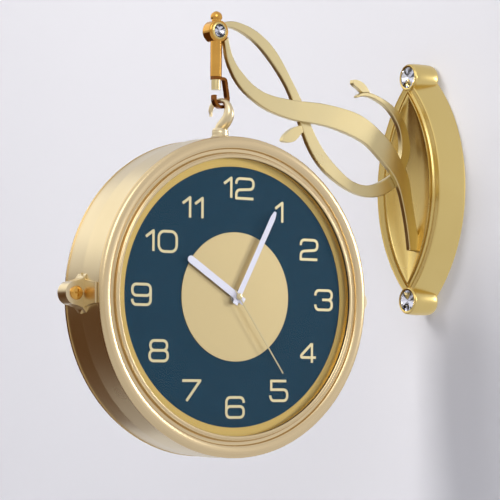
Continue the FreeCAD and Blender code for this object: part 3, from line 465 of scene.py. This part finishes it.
# Radius and height off the wall, in millimetres, from the foot to the crystal's seat.
boss_profile = [
    (11.0, 0.1),
    (12.9, 0.9),
    (13.9, 2.8),
    (14.4, 5.5),
    (14.5, 9.0),
    (14.5, 18.0),
    (14.2, 24.0),
    (13.8, 27.4),
    (13.4, 28.4),
    (13.5, 28.8),
    (13.5, 29.6),
    (13.1, 30.0),
    (12.8, 29.7),
    (12.7, 25.0),
]
boss_reach = 112.0
off_wall = Vector((-1, 0, 0))
plate_pieces = [casting]
boss_spokes = 72
for label, end in (("upper", 1), ("lower", -1)):
    foot = Vector((0, 0, end * boss_reach / metre))
    boss = turned_body(label + "_boss", boss_profile, boss_spokes, foot, off_wall, plate_gold, closed=False)
    plate_pieces.append(boss)
for piece in plate_pieces:
    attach(piece, "bracket")
    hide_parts("wall_plate")


# Crystal caps: brilliant-cut glass stones with a silver foil back, each gripped by a gold ring
# pressed into a boss of the plate, where it hides a wall screw, or into an end of the barrel.
for node in ("plate_crystal_rings", "barrel_crystal_rings"):
    dress(node, plate_gold)


def cut_glass():
    """Ground and polished lead glass: bright, with sharp clear facets."""
    material, tree = bare_material("cut_lead_glass")
    finish = {"Base Color": linear("#FBFBFF"), "Roughness": 0.01, "IOR": 1.58, "Transmission Weight": 1}
    surface = add_node(tree, "BsdfPrincipled", finish)
    add_node(tree, "OutputMaterial", links={0: surface})
    return material


stone_glass = cut_glass()

# Silver foil burnished onto the stone's back: a bright mirror with barely a ripple.
stone_foil = metal_surface(
    "silver_foil",
    "#F6F7FB",
    "#D6D9E4",
    roughness=0.03,
    grain_mm=5.0,
    relief_mm=0.002,
    drift_mm=8,
    dark_share=0.4,
)

# Painted dark reflections: a dark grey foil on every fifth facet of the back stands in for the dark facets
# that make a stone sparkle.
dark_facet_foil = metal_surface(
    "painted_dark_facet_foil",
    "#3A3D48",
    "#15161C",
    roughness=0.10,
    grain_mm=5.0,
    relief_mm=0.002,
    drift_mm=8,
    dark_share=0.6,
)

table_share = 0.56
crown_share = 0.80
crown_lift = 0.60
cuts = 8
dark_facet_every = 5
dark_facet_first = 2


def stone(name, middle, facing, radius, table_rise, girdle_rise, culet_rise, node):
    """A round brilliant: table, star and kite facets, girdle, and a foiled back."""
    crown_rise = girdle_rise + crown_lift * (table_rise - girdle_rise)
    side_on = facing.orthogonal().normalized()
    up_on = facing.cross(side_on)

    def at(turn, share, rise_out):
        spoke = math.cos(turn) * side_on + math.sin(turn) * up_on
        return middle + share * radius * spoke + rise_out * facing

    step = 2 * math.pi / cuts
    table = [at(k * step, table_share, table_rise) for k in range(cuts)]
    crown = [at((k + 0.5) * step, crown_share, crown_rise) for k in range(cuts)]
    girdle = [at(k * step / 2, 1, girdle_rise) for k in range(2 * cuts)]
    points = table + crown + girdle + [at(0, 0, culet_rise)]
    crown_from = len(table)
    girdle_from = crown_from + len(crown)
    culet = girdle_from + len(girdle)
    cut_faces = [tuple(range(crown_from))]
    foiled_faces = []
    for k in range(cuts):
        after = (k + 1) % cuts
        kite = crown_from + k
        corner = girdle_from + 2 * k
        next_corner = girdle_from + 2 * after
        cut_faces.append((k, kite, after))
        cut_faces.append((after, kite, next_corner, crown_from + after))
        cut_faces.append((kite, corner, corner + 1))
        cut_faces.append((kite, corner + 1, next_corner))
        foiled_faces.append((corner, culet, corner + 1))
        foiled_faces.append((corner + 1, culet, next_corner))
    mesh = bpy.data.meshes.new(name)
    mesh.from_pydata(points, [], cut_faces + foiled_faces)
    shape = bmesh.new()
    shape.from_mesh(mesh)
    bmesh.ops.recalc_face_normals(shape, faces=shape.faces)
    shape.to_mesh(mesh)
    shape.free()
    for finish in (stone_glass, stone_foil, dark_facet_foil):
        mesh.materials.append(finish)
    for k, face in enumerate(mesh.polygons[len(cut_faces) :]):
        # Every fifth back facet takes the dark foil: painted dark reflections.
        face.material_index = 2 if k % dark_facet_every == dark_facet_first else 1
    piece = bpy.data.objects.new(name, mesh)
    scene.collection.objects.link(piece)
    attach(piece, "bracket")
    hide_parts(node)


plate_crown = 2.2 / metre
plate_low, plate_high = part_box("plate_crystals")
stone_radius = (plate_high.y - plate_low.y) / 2
for label, end in (("upper", 1), ("lower", -1)):
    stone(
        label + "_plate_stone",
        Vector((0, 0, end * (plate_high.z - stone_radius))),
        off_wall,
        stone_radius,
        table_rise=-plate_low.x,
        girdle_rise=-plate_low.x - plate_crown,
        culet_rise=-plate_high.x,
        node="plate_crystals",
    )

barrel_crown = 0.7 / metre
barrel_depth = 3.4 / metre
barrel_lap = 1.2 / metre  # the stone's edge lies over its ring
barrel_low, barrel_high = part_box("barrel_crystals")
barrel_middle = (barrel_low + barrel_high) / 2
for label, outward, reach in (("front", -1, -barrel_low.y), ("rear", 1, barrel_high.y)):
    stone(
        label + "_barrel_stone",
        Vector((barrel_middle.x, 0, barrel_middle.z)),
        Vector((0, outward, 0)),
        (barrel_high.x - barrel_low.x) / 2 + barrel_lap,
        table_rise=reach,
        girdle_rise=reach - barrel_crown,
        culet_rise=reach - barrel_depth,
        node="barrel_crystals",
    )


# Scroll arm: flat straps of sawn and filed brass sheet, bent to shape, soldered where they cross
# and lacquered satin gold; leaves and a tendril grow from them.
def eased_copy(node, body, width_mm, material, rounds=2, clamp=True):
    """The node's own solid with its sharp edges eased, as filing and lacquer leave them."""
    sharp = math.radians(35)
    flat = math.radians(1)
    shape = bmesh.new()
    shape.from_mesh(nodes[node].data)
    bmesh.ops.remove_doubles(shape, verts=shape.verts, dist=weld_gap)
    bmesh.ops.dissolve_limit(shape, angle_limit=flat, verts=shape.verts, edges=shape.edges)
    edges = [e for e in shape.edges if len(e.link_faces) == 2 and e.calc_face_angle() > sharp]
    bmesh.ops.bevel(
        shape,
        geom=edges,
        offset=width_mm / metre,
        offset_type="OFFSET",
        segments=rounds,
        profile=0.5,
        affect="EDGES",
        clamp_overlap=clamp,
    )
    mesh = bpy.data.meshes.new(node + "_eased")
    shape.to_mesh(mesh)
    shape.free()
    old_normals = mesh.attributes.get("custom_normal")
    if old_normals:
        mesh.attributes.remove(old_normals)
    for face in mesh.polygons:
        face.use_smooth = True
    mesh.set_sharp_from_angle(angle=sharp)
    mesh.materials.append(material)
    piece = bpy.data.objects.new(node + "_eased", mesh)
    scene.collection.objects.link(piece)
    weighted = piece.modifiers.new("flat_faces", "WEIGHTED_NORMAL")
    weighted.keep_sharp = True
    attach(piece, body)
    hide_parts(node)


# Satin gold lacquer over brushed brass: pale, with a wide soft sheen. Its real grain, about
# 0.1 mm, is too fine to show, so it is drawn at 0.8 mm.
satin_gold = metal_surface(
    "satin_gold_lacquer",
    "#D6C697",
    "#C6B077",
    roughness=0.29,
    grain_mm=0.8,
    relief_mm=0.02,
    drift_mm=30,
    dark_share=0.4,
)

# Zinc plating on turned and pressed steel: grey and dull, as fasteners are.
steel = metal_surface(
    "zinc_plated_steel",
    "#B9BABD",
    "#8E8F94",
    roughness=0.32,
    grain_mm=1.5,
    relief_mm=0.01,
    drift_mm=10,
    dark_share=0.5,
)
for strap in ("arm_ribbon", "arm_scroll", "upper_tendril"):
    eased_copy(strap, "bracket", 1.0, satin_gold, rounds=3, clamp=False)
for leaf in ("lower_leaf", "tendril_leaf"):
    eased_copy(leaf, "bracket", 0.4, satin_gold)
dress("arm_screws", steel)


# Tip barrel and hanger: a turned brass barrel at the arm's end holds a polished rod,
# which carries a bent bronze hook strap under a domed finial nut.

# Gold electroplated on buffed brass: deep and bright, with clear reflections.
polished_gold = metal_surface(
    "polished_gold_electroplate",
    "#DDAA55",
    "#B07A30",
    roughness=0.10,
    grain_mm=3.0,
    relief_mm=0.004,
    drift_mm=20,
    dark_share=0.6,
)

# Bronze strip browned by heat where it was bent: dark red-brown with glints on its edges.
dark_bronze = metal_surface(
    "dark_bronze_strap",
    "#A8692C",
    "#4A2A14",
    roughness=0.16,
    grain_mm=1.5,
    relief_mm=0.02,
    drift_mm=9,
    dark_share=0.8,
)
for node in ("tip_barrel", "hanger_rod", "thrust_washer", "finial_nut"):
    dress(node, polished_gold)
eased_copy("hanger_hook", "hanger", 0.35, dark_bronze)
dress("rod_nut", satin_gold)


# Clock body: an open cast hook with a beaded collar, a drum of two spun aluminium halves,
# and side lugs whose screws pull the halves together.
sides = {"front": -1, "rear": 1}

# Champagne anodising on fine-blasted aluminium: pale and warm, with a broad sheen. Its real
# grain, about 0.1 mm, is too fine to show, so it is drawn at 1 mm.
champagne = metal_surface(
    "champagne_anodised_aluminium",
    "#DDCDA9",
    "#CDB98C",
    roughness=0.30,
    grain_mm=1.0,
    relief_mm=0.01,
    drift_mm=40,
    dark_share=0.4,
)
for node in ("clock_hook", "front_case", "rear_case"):
    dress(node, champagne)
for side in sides:
    eased_copy(side + "_lugs", "clock", 0.4, champagne)
for node in ("hook_washer", "hook_nut"):
    dress(node, steel)
for node in ("lug_screws", "lug_nuts"):
    dress(node, polished_gold)


# Bezels: an aluminium ring turned on a lathe for each face, with a rolled rim, a valley and
# a raised lip round the glass, fixed over the mouth of the case.
def turned_metal(name, code, dark_code, roughness, groove_mm, relief_mm, dark_share):
    """Metal finished on a lathe: fine rings round the clock's axis in its relief and tone."""
    material, tree = bare_material(name)
    place = add_node(tree, "TexCoord").outputs["Object"]
    flat = add_node(tree, "VectorMath", {1: (1, 0, 1)}, {0: place}, operation="MULTIPLY")
    centre = {1: (clock_middle.x, 0, clock_middle.z)}
    spoke = add_node(tree, "VectorMath", centre, {0: flat}, operation="DISTANCE").outputs["Value"]
    grooves = {"Scale": metre / groove_mm, "Detail": 3}
    rings = add_node(tree, "TexNoise", grooves, {"W": spoke}, noise_dimensions="1D")
    relief = add_node(tree, "Bump", {"Strength": 1, "Distance": relief_mm / metre}, {"Height": rings})
    amount = add_node(tree, "Math", {1: dark_share}, {0: rings}, operation="MULTIPLY")
    colours = {6: linear(code), 7: linear(dark_code)}
    tone = add_node(tree, "Mix", colours, {0: amount}, data_type="RGBA").outputs[2]
    finish = {"Metallic": 1, "Roughness": roughness}
    surface = add_node(tree, "BsdfPrincipled", finish, {"Base Color": tone, "Normal": relief})
    add_node(tree, "OutputMaterial", links={0: surface})
    return material


def rounded_profile(corners):
    """Radius and height pairs with each corner rounded by its own radius, all in millimetres."""
    arc_steps = 5
    path = []
    for before, (x, y, ease), after in zip(corners[-1:] + corners[:-1], corners, corners[1:] + corners[:1]):
        corner = Vector((x, y))
        back = Vector(before[:2]) - corner
        ahead = Vector(after[:2]) - corner
        reach = min(ease, back.length / 2, ahead.length / 2)
        if reach <= 0:
            path.append(corner)
            continue
        start = corner + back.normalized() * reach
        end = corner + ahead.normalized() * reach
        for step in range(arc_steps + 1):
            share = step / arc_steps
            path.append((1 - share) ** 2 * start + 2 * share * (1 - share) * corner + share**2 * end)
    return path


# Champagne anodising over turning marks: a ring of soft highlights. The real marks, about
# 0.1 mm apart, are too fine to show, so they are drawn at 0.8 mm.
turned_champagne = turned_metal(
    "turned_champagne_aluminium",
    "#DCC79E",
    "#C8AF80",
    roughness=0.27,
    groove_mm=0.8,
    relief_mm=0.012,
    dark_share=0.5,
)

# Radius, height in front of the seam and rounding of each corner, in millimetres.
bezel_corners = [
    # The rolled rim
    (149.6, 28.0, 0),
    (149.6, 30.6, 2.4),
    (148.2, 32.8, 2.5),
    (144.8, 34.0, 3.0),
    (140.6, 33.5, 2.5),
    # The valley
    (138.2, 32.2, 0.6),
    (137.6, 29.8, 0.4),
    (134.4, 29.8, 0.4),
    # The lip, with a fine line in its top
    (133.9, 31.5, 0.4),
    (133.4, 33.0, 0.3),
    (132.6, 33.7, 0.3),
    (132.1, 33.3, 0.15),
    (131.6, 33.8, 0.3),
    (130.0, 33.9, 0.5),
    (129.2, 33.3, 0.3),
    # The rebate that holds the glass
    (129.2, 32.8, 0),
    (131.8, 32.8, 0),
    (131.8, 28.0, 0),
]
bezel_path = rounded_profile(bezel_corners)
bezel_spokes = 288
for side, outward in sides.items():
    bezel = turned_body(
        side + "_bezel_ring",
        bezel_path,
        bezel_spokes,
        clock_middle,
        Vector((0, outward, 0)),
        turned_champagne,
        closed=True,
    )
    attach(bezel, "clock")
    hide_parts(side + "_bezel")


# Glass and its seal: a shallow dome of float glass slumped over a former, bedded on a rubber ring.
def window_glass():
    """Clear glass: a faint reflection from its coat, while light passes straight to the dial.

    Glass this thin hardly bends what lies behind it, so its IOR stays near that of air.
    """
    finish = {
        "Base Color": linear("#FDFEFE"),
        "Roughness": 0.0,
        "IOR": 1.01,
        "Transmission Weight": 1,
        "Coat Weight": 0.15,
        "Coat Roughness": 0.0,
    }
    material, tree = bare_material("slumped_float_glass")
    lens = add_node(tree, "BsdfPrincipled", finish)
    clear = add_node(tree, "BsdfTransparent")
    shadow = add_node(tree, "LightPath").outputs["Is Shadow Ray"]
    passed = add_node(tree, "MixShader", links={0: shadow, 1: lens, 2: clear})
    add_node(tree, "OutputMaterial", links={0: passed})
    return material


def paint_surface(name, code, dark_code, roughness, grain_mm, relief_mm, **sockets):
    """Paint, print or moulded plastic with a fine grain in its relief and tone."""
    material, tree = bare_material(name)
    place = add_node(tree, "TexCoord").outputs["Object"]
    grit = add_node(tree, "TexNoise", {"Scale": metre / grain_mm, "Detail": 4}, {"Vector": place})
    relief = add_node(tree, "Bump", {"Strength": 1, "Distance": relief_mm / metre}, {"Height": grit})
    colours = {6: linear(code), 7: linear(dark_code)}
    tone = add_node(tree, "Mix", colours, {0: grit}, data_type="RGBA").outputs[2]
    finish = {"Roughness": roughness, **sockets}
    surface = add_node(tree, "BsdfPrincipled", finish, {"Base Color": tone, "Normal": relief})
    add_node(tree, "OutputMaterial", links={0: surface})
    return material


clear_glass = window_glass()

# Moulded nitrile rubber: matt and nearly black.
rubber = paint_surface(
    "nitrile_rubber", "#1C1B1B", "#121212", roughness=0.7, grain_mm=2.0, relief_mm=0.02
)
for side in sides:
    dress(side + "_glass", clear_glass)
    dress(side + "_glass_seal", rubber)


# Dial: printed teal aluminium sheet with a gold flange round it, a spun centre disc,
# and raised satin numerals.

# Gold anodising over turning marks, drawn at 1 mm: a yellow band that catches the light.
flange_gold = turned_metal(
    "turned_gold_flange",
    "#C9AE6B",
    "#B8933F",
    roughness=0.36,
    groove_mm=1.0,
    relief_mm=0.01,
    dark_share=0.6,
)

# Screen-printed ink on aluminium: deep matt teal with almost no reflection.
dial_finish = {"Specular IOR Level": 0.04}
dial_teal = paint_surface(
    "teal_screen_print", "#17384A", "#123040", roughness=0.6, grain_mm=0.9, relief_mm=0.006, **dial_finish
)

# A pale gold disc spun on a lathe: fine rings, drawn at 1.2 mm, give an even satin face.
disc_gold = turned_metal(
    "spun_gold_disc",
    "#D1BC8C",
    "#CBB684",
    roughness=0.36,
    groove_mm=1.2,
    relief_mm=0.006,
    dark_share=0.5,
)

# Stamped brass sheet with a satin gold plating: pale figures that read clearly on the teal.
numeral_gold = metal_surface(
    "satin_gold_numerals",
    "#E6D8AC",
    "#D2BF8A",
    roughness=0.34,
    grain_mm=1.0,
    relief_mm=0.01,
    drift_mm=10,
    dark_share=0.5,
)
for side in sides:
    dress(side + "_dial_flange", flange_gold)
    dress(side + "_dial", dial_teal)
    dress(side + "_centre_disc", disc_gold)
    dress(side + "_numerals", numeral_gold)


# Movement: a black moulded quartz movement behind each dial, with its battery and setting wheel,
# held by a nut on the dial's face.

# Moulded polystyrene: black, with a low even gloss.
black_plastic = paint_surface(
    "black_polystyrene", "#1B1B1D", "#111112", roughness=0.45, grain_mm=1.5, relief_mm=0.02
)

# A printed plastic sleeve, left plain: dark grey and smooth.
battery_skin = paint_surface(
    "plain_battery_sleeve", "#3B3D42", "#2A2B30", roughness=0.3, grain_mm=3.0, relief_mm=0.01
)
for side in sides:
    for node in ("_movement_case", "_setting_wheel", "_hour_tube"):
        dress(side + node, black_plastic)
    for node in ("_movement_nut", "_battery_contacts", "_minute_arbor"):
        dress(side + node, steel)
    dress(side + "_battery", battery_skin)


# Hands: stamped aluminium with bevelled edges, sprayed satin silver white, and a thin gold needle
# for the seconds.

# Sprayed lacquer: a cool silver white that stands out from the dial.
hand_paint = paint_surface(
    "satin_silver_white_lacquer", "#D4D3E0", "#C9C8D6", roughness=0.4, grain_mm=1.5, relief_mm=0.01
)

# Gold-plated brass needle with its cap: thin and quiet against the disc.
needle_gold = metal_surface(
    "gold_needle",
    "#CDBE96",
    "#A8946A",
    roughness=0.35,
    grain_mm=1.5,
    relief_mm=0.01,
    drift_mm=10,
    dark_share=0.4,
)
for side in sides:
    eased_copy(side + "_hour_hand", side + "_hour", 0.2, hand_paint)
    eased_copy(side + "_minute_hand", side + "_minute", 0.2, hand_paint)
    dress(side + "_second_hand", needle_gold)


low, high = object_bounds()
